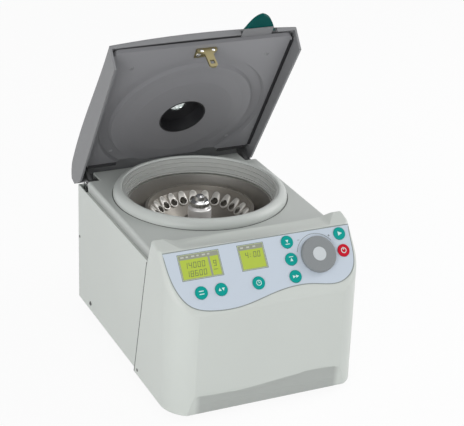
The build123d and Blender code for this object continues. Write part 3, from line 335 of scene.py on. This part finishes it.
painted_nodes = {
    "case": ["base_plate", "left_side_panel", "right_side_panel", "rear_panel"],
    "cover": ["front_cover"],
    "deck": ["top_deck"],
    "collar": ["chamber_collar"],
    "gasket": ["collar_gasket"],
    "bowl": ["chamber_bowl"],
    "lid": ["lid_shell"],
    "liner": ["lid_liner"],
    "plug": ["liner_screws"],
    "clear": ["sight_glass"],
    "brass": ["lid_striker"],
    "handle_teal": ["lid_handle"],
    "overlay": ["membrane_panel"],
    "glass_face": ["speed_display", "time_display"],
    "knob": ["jog_knob"],
    "knob_pale": ["knob_cap"],
    "teal": [
        "unit_key",
        "ramp_key",
        "time_key",
        "store_key",
        "recall_key",
        "quick_run_key",
        "start_key",
    ],
    "red": ["stop_key"],
    "rotor": ["tube_rotor", "rotor_hub"],
    "nut": ["rotor_nut"],
    "rubber": ["shaft_seal", "motor_mounts", "rubber_feet"],
    "motor": ["motor_housing", "latch_solenoid"],
    "winding": ["motor_stator", "motor_armature"],
    "board": ["control_board", "power_board"],
    "dark": [
        "key_switches",
        "knob_encoder",
        "mains_inlet",
        "switch_frame",
        "mains_rocker",
        "latch_housing",
        "port_cup",
    ],
    "zinc": [
        "motor_flange",
        "motor_bearings",
        "motor_shaft",
        "rear_screws",
        "lock_bolt",
        "striker_screws",
    ],
    "dull_steel": ["hinge_brackets", "hinge_arms"],
    "bright": ["hinge_pins", "port_bezel"],
    "screw_dark": ["side_screws"],
}
for finish, names in painted_nodes.items():
    for name in names:
        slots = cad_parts[name].data.materials
        slots.clear()
        slots.append(paint[finish])


# Short ways to shade and build pieces
crease_angle = 30.0


def smooth(obj, angle):
    """Smooth shading except where two faces meet at more than the angle."""
    mesh = obj.data
    mesh.polygons.foreach_set("use_smooth", [True] * len(mesh.polygons))
    work = bmesh.new()
    work.from_mesh(mesh)
    limit = math.radians(angle)
    for edge in work.edges:
        sharp = len(edge.link_faces) != 2 or edge.calc_face_angle(0.0) > limit
        edge.smooth = not sharp
    work.to_mesh(mesh)
    work.free()


def join_rings(work, rings, ends=True):
    """Faces from each ring of places to the next, closed by end faces or back to the first ring."""
    rows = [[work.verts.new(place) for place in ring] for ring in rings]
    pairs = list(zip(rows, rows[1:]))
    if ends:
        work.faces.new(rows[-1])
        work.faces.new(list(reversed(rows[0])))
    else:
        pairs.append((rows[-1], rows[0]))
    for first, second in pairs:
        for i in range(len(first)):
            j = (i + 1) % len(first)
            work.faces.new((first[i], first[j], second[j], second[i]))


def link_piece(work, name, finish, body, edge=0.0):
    """Turns built faces into a piece that rides on a body, its edges rounded where asked."""
    bmesh.ops.recalc_face_normals(work, faces=work.faces)
    if edge:
        bmesh.ops.bevel(work, geom=work.edges, offset=edge * MM, segments=2, affect="EDGES", profile=0.5)
    mesh = bpy.data.meshes.new(name)
    work.to_mesh(mesh)
    work.free()
    mesh.materials.append(paint[finish])
    obj = bpy.data.objects.new(name, mesh)
    scene.collection.objects.link(obj)
    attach(obj, body)
    return obj


def bar(x0, x1, s0, s1):
    return [(x0, s0), (x1, s0), (x1, s1), (x0, s1)]


def disc(x, s, radius, sides):
    angles = [2.0 * math.pi * i / sides for i in range(sides)]
    return [(x + radius * math.cos(a), s + radius * math.sin(a)) for a in angles]


# The control panel's plane. Places on it are millimetres across and down.
panel_tilt = math.radians(39.0)
panel_origin = Vector((0.0, -149.2, 230.8)) * MM
panel_across = Vector((1.0, 0.0, 0.0))
panel_up = Vector((0.0, math.sin(panel_tilt), math.cos(panel_tilt)))
panel_out = Vector((0.0, -math.cos(panel_tilt), math.sin(panel_tilt)))
overlay_face, key_face = -0.2, 0.9
mark_rise, mark_depth = 0.05, 0.06
print_rise = overlay_face + mark_rise


def panel_point(x, s, rise):
    return panel_origin + (panel_across * x - panel_up * s + panel_out * rise) * MM


def panel_marks(name, outlines, rise, finish, body="housing"):
    """Thin printed marks: each outline is a closed ring of places on the panel."""
    work = bmesh.new()
    for outline in outlines:
        heights = (rise - mark_depth, rise)
        join_rings(work, [[panel_point(x, s, height) for x, s in outline] for height in heights])
    link_piece(work, name, finish, body)


def arc_band(x, s, inner, outer, start, end, steps):
    """A ring's part between two clock angles, in degrees from the top, clockwise."""
    rings = []
    for i in range(steps):
        a = math.radians(start + (end - start) * i / steps)
        b = math.radians(start + (end - start) * (i + 1) / steps)
        corners = ((inner, a), (outer, a), (outer, b), (inner, b))
        rings.append([(x + reach * math.sin(c), s - reach * math.cos(c)) for reach, c in corners])
    return rings


# Seven-segment digits for the displays: which of the segments a to g each digit lights
digit_height, digit_stroke, digit_lean = 8.0, 0.9, 0.12
segments_of = {
    "0": "abcdef",
    "1": "bc",
    "4": "fgbc",
    "6": "afgedc",
    "8": "abcdefg",
    "9": "abcdfg",
}


def digit(figure, x, s, width):
    """The lit segments of one digit whose top left corner is at x, s."""
    stroke, height = digit_stroke, digit_height
    half = height / 2.0
    gap = stroke * 0.15
    bars = {
        "a": (stroke / 2, width - stroke / 2, 0.0, stroke),
        "d": (stroke / 2, width - stroke / 2, height - stroke, height),
        "g": (stroke / 2, width - stroke / 2, half - stroke / 2, half + stroke / 2),
        "f": (0.0, stroke, gap, half - gap),
        "b": (width - stroke, width, gap, half - gap),
        "e": (0.0, stroke, half + gap, height - gap),
        "c": (width - stroke, width, half + gap, height - gap),
    }
    rings = []
    for segment in segments_of[figure]:
        corners = bar(*bars[segment])
        rings.append([(x + px + (height - ps) * digit_lean, s + ps) for px, ps in corners])
    return rings


def figures(text, x, s, width, pitch):
    rings = []
    for i, figure in enumerate(text):
        if figure != " ":
            rings += digit(figure, x + i * pitch, s, width)
    return rings


# The two display windows, and what is printed in and round them
window_top, window_bottom = 7.6, 41.2
speed_left, speed_right = -117.1, -59.9
time_left, time_right = -31.5, 4.9
windows = ((speed_left, speed_right), (time_left, time_right))
divider = speed_left + (speed_right - speed_left) * 0.74
divider_half_width = 1.4
strip_inset, strip_bottom, strip_side, strip_foot = 0.4, 6.6, 1.5, 1.2
frame_inner, frame_outer = 0.35, 1.1


def display_strips():
    """Grey borders inside the windows, the broad one above, and a bar between the figures."""
    top, bottom = window_top + strip_bottom, window_bottom - strip_inset
    rings = []
    for left, right in windows:
        rings.append(bar(left + strip_inset, right - strip_inset, window_top + strip_inset, top))
        rings.append(bar(left + strip_inset, left + strip_side, top, bottom))
        rings.append(bar(right - strip_side, right - strip_inset, top, bottom))
        rings.append(bar(left + strip_side, right - strip_side, window_bottom - strip_foot, bottom))
    divider_left, divider_right = divider - divider_half_width, divider + divider_half_width
    rings.append(bar(divider_left, divider_right, top, window_bottom - strip_foot))
    return rings


def display_frames():
    """Dark lines round the windows."""
    rings = []
    for left, right in windows:
        across = (left - frame_outer, right + frame_outer)
        down = (window_top - frame_inner, window_bottom + frame_inner)
        rings.append(bar(*across, window_top - frame_outer, down[0]))
        rings.append(bar(*across, down[1], window_bottom + frame_outer))
        rings.append(bar(across[0], left - frame_inner, *down))
        rings.append(bar(right + frame_inner, across[1], *down))
    return rings


def speed_figures():
    """Two rows of figures, and one figure over a dash at the right of the divider."""
    rings = figures("14000", speed_left + 6.0, 18.4, width=4.4, pitch=6.2)
    rings += figures("18600", speed_left + 6.0, 29.6, width=4.4, pitch=6.2)
    rings += figures("9", divider + 4.2, 20.4, width=4.4, pitch=6.2)
    return rings + [bar(divider + 3.6, divider + 9.4, 32.2, 33.0)]


def time_figures():
    """Minutes and seconds, with the two dots between them."""
    rings = figures("4 00", time_left + 8.0, 17.6, width=4.2, pitch=5.8)
    for x, s in ((15.9, 20.4), (15.4, 23.6)):
        rings.append(disc(time_left + x, s, radius=0.6, sides=12))
    return rings


def dashes(start, pitch, lengths):
    top, bottom = window_top + 2.2, window_top + 4.2
    starts = [start + i * pitch for i in range(len(lengths))]
    return [bar(x, x + length, top, bottom) for x, length in zip(starts, lengths)]


def strip_marks():
    """Pale dashes in the broad strips above the figures."""
    speed_dashes = dashes(speed_left + 3.4, pitch=7.6, lengths=(4.6, 3.2) * 3)
    time_dashes = dashes(time_left + 3.6, pitch=9.0, lengths=(4.0,) * 3)
    return speed_dashes + time_dashes


def knob_scale():
    """The line above the knob, with a minus at its left end and a plus at its right."""
    x, s = 80.8, 36.6
    rings = arc_band(x, s, inner=29.6, outer=30.2, start=-74.0, end=56.0, steps=28)
    rings.append(bar(x - 24.5, x - 21.6, s - 24.6, s - 23.9))
    rings.append(bar(x + 21.4, x + 24.6, s - 24.2, s - 23.5))
    rings.append(bar(x + 22.65, x + 23.35, s - 25.5, s - 22.2))
    return rings


panel_marks("display_strips", display_strips(), print_rise, "display_strip")
panel_marks("speed_figures", speed_figures(), print_rise, "digit")
panel_marks("time_figures", time_figures(), print_rise, "digit")
panel_marks("strip_marks", strip_marks(), print_rise + mark_depth, "strip_mark")
panel_marks("knob_arc", knob_scale(), print_rise, "overlay_line")
panel_marks("display_frames", display_frames(), print_rise, "overlay_line")


# The keys' plain marks
def triangle(x, s, size, heading):
    """A solid triangle pointing right, up or down."""
    spots = {
        "right": [(-0.45, -0.5), (0.55, 0.0), (-0.45, 0.5)],
        "up": [(-0.5, 0.45), (0.0, -0.55), (0.5, 0.45)],
        "down": [(-0.5, -0.45), (0.0, 0.55), (0.5, -0.45)],
    }
    return [(x + px * size, s + ps * size) for px, ps in spots[heading]]


def full_ring(x, s, inner, outer):
    return arc_band(x, s, inner, outer, start=0.0, end=360.0, steps=24)


def unit_mark(x, s):
    return [bar(x - 3.4, x + 3.4, s - 2.6, s - 1.4), bar(x - 3.4, x + 3.4, s + 1.4, s + 2.6)]


def ramp_mark(x, s):
    return [triangle(x - 2.4, s, 4.2, "up"), triangle(x + 2.6, s, 4.2, "down")]


def time_mark(x, s):
    hands = [bar(x - 0.4, x + 0.4, s - 2.4, s + 0.4), bar(x, x + 2.0, s - 0.4, s + 0.4)]
    return full_ring(x, s, 3.0, 3.9) + hands


def store_mark(x, s):
    return [triangle(x, s - 0.8, 4.4, "down"), bar(x - 3.2, x + 3.2, s + 2.6, s + 3.6)]


def recall_mark(x, s):
    return [triangle(x, s + 0.8, 4.4, "up"), bar(x - 3.2, x + 3.2, s - 3.6, s - 2.6)]


def quick_run_mark(x, s):
    return [triangle(x - 2.2, s, 4.4, "right"), triangle(x + 2.4, s, 4.4, "right")]


def start_mark(x, s):
    return [triangle(x + 0.4, s, 6.0, "right")]


def stop_mark(x, s):
    return full_ring(x, s, 3.0, 4.0) + [bar(x - 0.5, x + 0.5, s - 4.6, s - 0.6)]


top_row, row_pitch = 12.6, 24.0
first_row, second_row, third_row = (top_row + i * row_pitch for i in range(3))
middle_column, end_column = 40.7, 120.0
keys = {
    "unit_key": (unit_mark, -96.2, third_row),
    "ramp_key": (ramp_mark, -67.8, third_row),
    "time_key": (time_mark, -13.7, third_row),
    "store_key": (store_mark, middle_column, first_row),
    "recall_key": (recall_mark, middle_column, second_row),
    "quick_run_key": (quick_run_mark, middle_column, third_row),
    "start_key": (start_mark, end_column, first_row),
    "stop_key": (stop_mark, end_column, second_row),
}
for key, (draw, x, s) in keys.items():
    panel_marks(key + "_mark", draw(x, s), key_face + mark_rise, "icon", key)


# A dark line along the overlay's edge: painted shade of the groove round it
def overlay_outline():
    """The outline as places on the panel, read from the overlay itself."""
    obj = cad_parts["membrane_panel"]
    work = bmesh.new()
    work.from_mesh(obj.data)
    work.transform(obj.matrix_world)
    front = []
    for face in work.faces:
        rise = (face.calc_center_median() - panel_origin).dot(panel_out) / MM
        if face.normal.dot(panel_out) > 0.9 and rise > overlay_face - 0.1:
            front.append(face)
    chosen = set(front)
    follow = {}
    for face in front:
        for loop in face.loops:
            near = loop.edge.link_faces
            if len(near) < 2 or not chosen.issuperset(near):
                follow[loop.vert] = loop.link_loop_next.vert
    rings = []
    while follow:
        ring = []
        spot = next(iter(follow))
        while spot in follow:
            place = spot.co - panel_origin
            ring.append((place.dot(panel_across) / MM, -place.dot(panel_up) / MM))
            spot = follow.pop(spot)
        rings.append(ring)
    work.free()
    return max(rings, key=lambda ring: max(x for x, s in ring) - min(x for x, s in ring))


def edge_line(outline, inside, outside):
    """Short strips along an outline, reaching a little to each side of it."""
    count = len(outline)
    area = 0.0
    for (x0, s0), (x1, s1) in zip(outline, outline[1:] + outline[:1]):
        area += x0 * s1 - x1 * s0
    side = 1.0 if area > 0.0 else -1.0
    normals = []
    for i in range(count):
        x0, s0 = outline[i - 1]
        x1, s1 = outline[(i + 1) % count]
        length = math.hypot(x1 - x0, s1 - s0)
        normals.append(((s1 - s0) / length * side, -(x1 - x0) / length * side))
    strips = []
    for i in range(count):
        j = (i + 1) % count
        strip = []
        for k, reach in ((i, -inside), (j, -inside), (j, outside), (i, outside)):
            strip.append(tuple(spot + way * reach for spot, way in zip(outline[k], normals[k])))
        strips.append(strip)
    return strips


overlay_strips = edge_line(overlay_outline(), inside=0.9, outside=0.4)
panel_marks("overlay_edge_shadow", overlay_strips, print_rise, "overlay_edge_shadow")


def lid_bar(name, across, along, heights, finish, edge=0.4):
    """A bar on the lid, between two places across it, two along it and two heights."""
    work = bmesh.new()
    join_rings(work, [[lid_point(x, y, z) for x, y in bar(*across, *along)] for z in heights])
    link_piece(work, name, finish, "lid", edge)


# The moulded bed that holds the handle's root, and near-black bars beside and behind the liner, painted
# shadow in the gaps between the liner and the shell
lid_bar("handle_bed", (54.6, 101.0), (-129.0, -113.4), (231.6, 233.3), "lid")
lid_bar("liner_gap_shadow_right", (131.4, 136.8), (-104.0, 138.0), (225.3, 227.6), "dark")
lid_bar("liner_gap_shadow_left", (-136.6, -134.2), (-108.0, 132.0), (227.2, 229.0), "dark", edge=0.0)
for side, word in side_words.items():
    across = sorted((side * 82.0, side * 126.0))
    lid_bar("liner_gap_shadow_rear_" + word, across, (139.0, 145.0), (224.5, 226.5), "dark")


def hook_studs(sides=20):
    """Two bright rivet heads on the striker hook's face, either side of its tongue."""
    domed_rings = ((-0.3, 2.7), (0.6, 2.7), (1.3, 1.9), (1.6, 0.8))
    work = bmesh.new()
    for side in side_words:
        rings = []
        for proud, radius in domed_rings:
            outline = disc(hook_x + side * hook_stud_x, hook_stud_z, radius, sides)
            rings.append([lid_point(x, hook_face_y - proud, z) for x, z in outline])
        join_rings(work, rings)
    smooth(link_piece(work, "hook_studs", "bright", "lid"), 40.0)


def collar_foot_shadow(inner=125.1, outer=126.7, rise=0.25, depth=0.12, sides=120):
    """A thin dark ring of painted shadow where the chamber's collar meets the deck."""
    top = deck_top_z + rise
    work = bmesh.new()
    rings = []
    for radius, height in ((inner, top - depth), (outer, top - depth), (outer, top), (inner, top)):
        outline = disc(0.0, axis_y, radius, sides)
        rings.append([Vector((x, y, height)) * MM for x, y in outline])
    join_rings(work, rings, ends=False)
    link_piece(work, "collar_foot_shadow", "shadow_line", "housing")


def hull_outline(foot, tip, reach, steps=14):
    """The outline round a circle at the origin and a smaller one further along."""
    tangent = math.acos((foot - tip) / reach)
    outline = []
    for i in range(steps + 1):
        a = -tangent + 2.0 * tangent * i / steps
        outline.append((reach + tip * math.cos(a), tip * math.sin(a)))
    for i in range(2 * steps + 1):
        a = tangent + (2.0 * math.pi - 2.0 * tangent) * i / (2 * steps)
        outline.append((foot * math.cos(a), foot * math.sin(a)))
    return outline


def rotor_lobes(foot=7.2, tip=5.4, reach=9.9, soft=0.8, skirt=-1.0, proud=0.08, clearance=0.1):
    """Broad pale lobes, each an open plate round its pocket, over the solid's own."""
    top = lobe_height + proud
    bore = pocket_bore + clearance
    wide = hull_outline(foot, tip, reach)
    narrow = hull_outline(foot - soft, tip - soft, reach)
    hole = [(bore * u / math.hypot(u, t), bore * t / math.hypot(u, t)) for u, t in wide]
    layers = ((hole, skirt), (wide, skirt), (wide, top - soft), (narrow, top), (hole, top))
    upright = Vector((0.0, 0.0, 1.0))
    work = bmesh.new()
    for index in range(pocket_count):
        turn_angle = 2.0 * math.pi * index / pocket_count
        outward = Vector((math.cos(turn_angle), math.sin(turn_angle), 0.0))
        across = Vector((-math.sin(turn_angle), math.cos(turn_angle), 0.0))
        uphill = (outward + upright) * math.sqrt(0.5)
        rise = (upright - outward) * math.sqrt(0.5)
        mouth = Vector((0.0, axis_y, pocket_mouth_z)) + outward * pocket_ring_radius
        rings = []
        for ring, height in layers:
            rings.append([(mouth + uphill * u + across * t + rise * height) * MM for u, t in ring])
        join_rings(work, rings, ends=False)
    smooth(link_piece(work, "rotor_lobes", "lobe", "rotor"), 50.0)


def side_seam_shadow(side, name, over_cover=1.6, over_panel=0.4, short=1.0, sunk=0.4, proud=0.08):
    """A dark strip of painted shadow along the seam where the front cover ends against a side panel."""
    lean = (seam_high_y - seam_low_y) / (seam_high_z - seam_low_z)
    low_z, high_z = seam_low_z + short, seam_high_z - short
    low_y, high_y = (seam_low_y + lean * (z - seam_low_z) for z in (low_z, high_z))
    corners = (
        (low_y - over_cover, low_z),
        (low_y + over_panel, low_z),
        (high_y + over_panel, high_z),
        (high_y - over_cover, high_z),
    )
    rings = []
    for x in (cover_half_width - sunk, cover_half_width + proud):
        rings.append([Vector((side * x, y, z)) * MM for y, z in corners])
    work = bmesh.new()
    join_rings(work, rings)
    link_piece(work, name, "shadow_line", "housing")


def side_dot(name, side, face_x, y, z, radius, sunk=0.5, rise=0.7, flat_share=0.6, sides=20):
    """A small screw head with a rounded edge on one side of the body."""
    rings = []
    for x, share in ((face_x - sunk, 1.0), (face_x + rise / 2, 1.0), (face_x + rise, flat_share)):
        outline = disc(y, z, radius * share, sides)
        rings.append([Vector((side * x, dot_y, dot_z)) * MM for dot_y, dot_z in outline])
    work = bmesh.new()
    join_rings(work, rings)
    link_piece(work, name, "screw_dark", "housing")


hook_studs()
collar_foot_shadow()
rotor_lobes()
for side, word in side_words.items():
    side_seam_shadow(side, "side_seam_shadow_" + word)
    side_dot("seam_screw_" + word, side, cover_half_width, y=-76.5, z=18.0, radius=2.4)
    side_dot("edge_screw_" + word, side, panel_half_width, y=166.0, z=117.0, radius=2.2)


# The liner's channel is a soft one, so its slopes shade with the flats beside them.
soft_slopes = {"lid_liner": 65.0}
for name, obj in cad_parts.items():
    smooth(obj, soft_slopes.get(name, crease_angle))
    if name in soft_slopes:
        flats = obj.modifiers.new("even flats", "WEIGHTED_NORMAL")
        flats.keep_sharp = True
        flats.weight = 100


# Camera, solved from the photo, in metres, degrees and pixels of the photo
camera_place = Vector((-0.8090, -1.7749, 1.0753))
yaw, pitch, roll = (math.radians(angle) for angle in (25.355, 24.048, 2.182))
photo_width, focal_pixels = 464.0, 1503.87
ahead = Vector((math.sin(yaw) * math.cos(pitch), math.cos(yaw) * math.cos(pitch), -math.sin(pitch)))
level = Vector((math.cos(yaw), -math.sin(yaw), 0.0))
above = level.cross(ahead)
to_right = level * math.cos(roll) + above * math.sin(roll)
to_top = above * math.cos(roll) - level * math.sin(roll)
turn = Matrix((to_right, to_top, -ahead)).transposed().to_4x4()
lens = bpy.data.cameras.new("photo camera")
lens.sensor_width = 36.0
lens.lens = focal_pixels / photo_width * lens.sensor_width
camera = bpy.data.objects.new("photo camera", lens)
camera.matrix_world = Matrix.Translation(camera_place) @ turn
scene.collection.objects.link(camera)
scene.camera = camera
scene.view_settings.view_transform = "Standard"


# Floor, background and lights
def white_share(tree):
    """1 for rays from the camera, through glass or off a mirror, which see plain white."""
    path = tree.nodes.new("ShaderNodeLightPath").outputs
    straight = number(tree, "MAXIMUM", path["Is Camera Ray"], path["Is Transmission Ray"])
    return number(tree, "MAXIMUM", straight, path["Is Glossy Ray"])


def white_light(tree, kind):
    return add(tree, kind, {"Color": (1.0, 1.0, 1.0, 1.0), "Strength": 1.0}).outputs[0]


def flat_floor(half=4.0, glow=0.93):
    """A plain floor that looks almost white and still takes the object's shadow."""
    corners = [(-half, -half, 0.0), (half, -half, 0.0), (half, half, 0.0), (-half, half, 0.0)]
    mesh = bpy.data.meshes.new("floor")
    mesh.from_pydata(corners, [], [(0, 1, 2, 3)])
    floor = bpy.data.objects.new("floor", mesh)
    scene.collection.objects.link(floor)
    material, tree, shader = new_material("floor")
    values = {"Base Color": (0.90, 0.90, 0.90, 1.0), "Roughness": 0.9, "Specular IOR Level": 0.0}
    fill(tree, shader, values)
    share = number(tree, "MULTIPLY", white_share(tree), glow)
    ways = {"Fac": share, 1: shader.outputs["BSDF"], 2: white_light(tree, "ShaderNodeEmission")}
    mix = add(tree, "ShaderNodeMixShader", ways)
    fill(tree, tree.nodes["Material Output"], {"Surface": mix.outputs["Shader"]})
    mesh.materials.append(material)


def background():
    """A white background, in a room that is brighter near the horizon than overhead."""
    world = bpy.data.worlds.new("studio")
    world.use_nodes = True
    scene.world = world
    tree = world.node_tree
    tree.nodes.clear()
    heading = tree.nodes.new("ShaderNodeTexCoord").outputs["Generated"]
    level_share = remap(tree, axes_of(tree, heading)["Z"], start=0.05, end=0.8, low=1.0, high=0.25)
    dim_values = {"Color": (0.97, 0.98, 1.0, 1.0), "Strength": level_share}
    dim = add(tree, "ShaderNodeBackground", dim_values).outputs[0]
    white = white_light(tree, "ShaderNodeBackground")
    mix = add(tree, "ShaderNodeMixShader", {"Fac": white_share(tree), 1: dim, 2: white})
    add(tree, "ShaderNodeOutputWorld", {"Surface": mix.outputs["Shader"]})


def soft_light(name, place, target, size, power):
    data = bpy.data.lights.new(name, "AREA")
    data.shape = "RECTANGLE"
    data.size, data.size_y = size
    data.energy = power
    light = bpy.data.objects.new(name, data)
    aim = Vector(target) - Vector(place)
    light.matrix_world = Matrix.Translation(place) @ aim.to_track_quat("-Z", "Y").to_matrix().to_4x4()
    scene.collection.objects.link(light)


flat_floor()
background()
soft_light("overhead", (-0.2, -0.5, 2.2), (0.0, 0.0, 0.2), size=(1.6, 1.6), power=5.0)
soft_light("front left", (-1.9, -1.7, 0.75), (0.0, -0.1, 0.15), size=(1.3, 1.0), power=23.0)
soft_light("right", (1.9, -0.2, 1.2), (0.0, 0.0, 0.2), size=(1.2, 1.2), power=21.0)
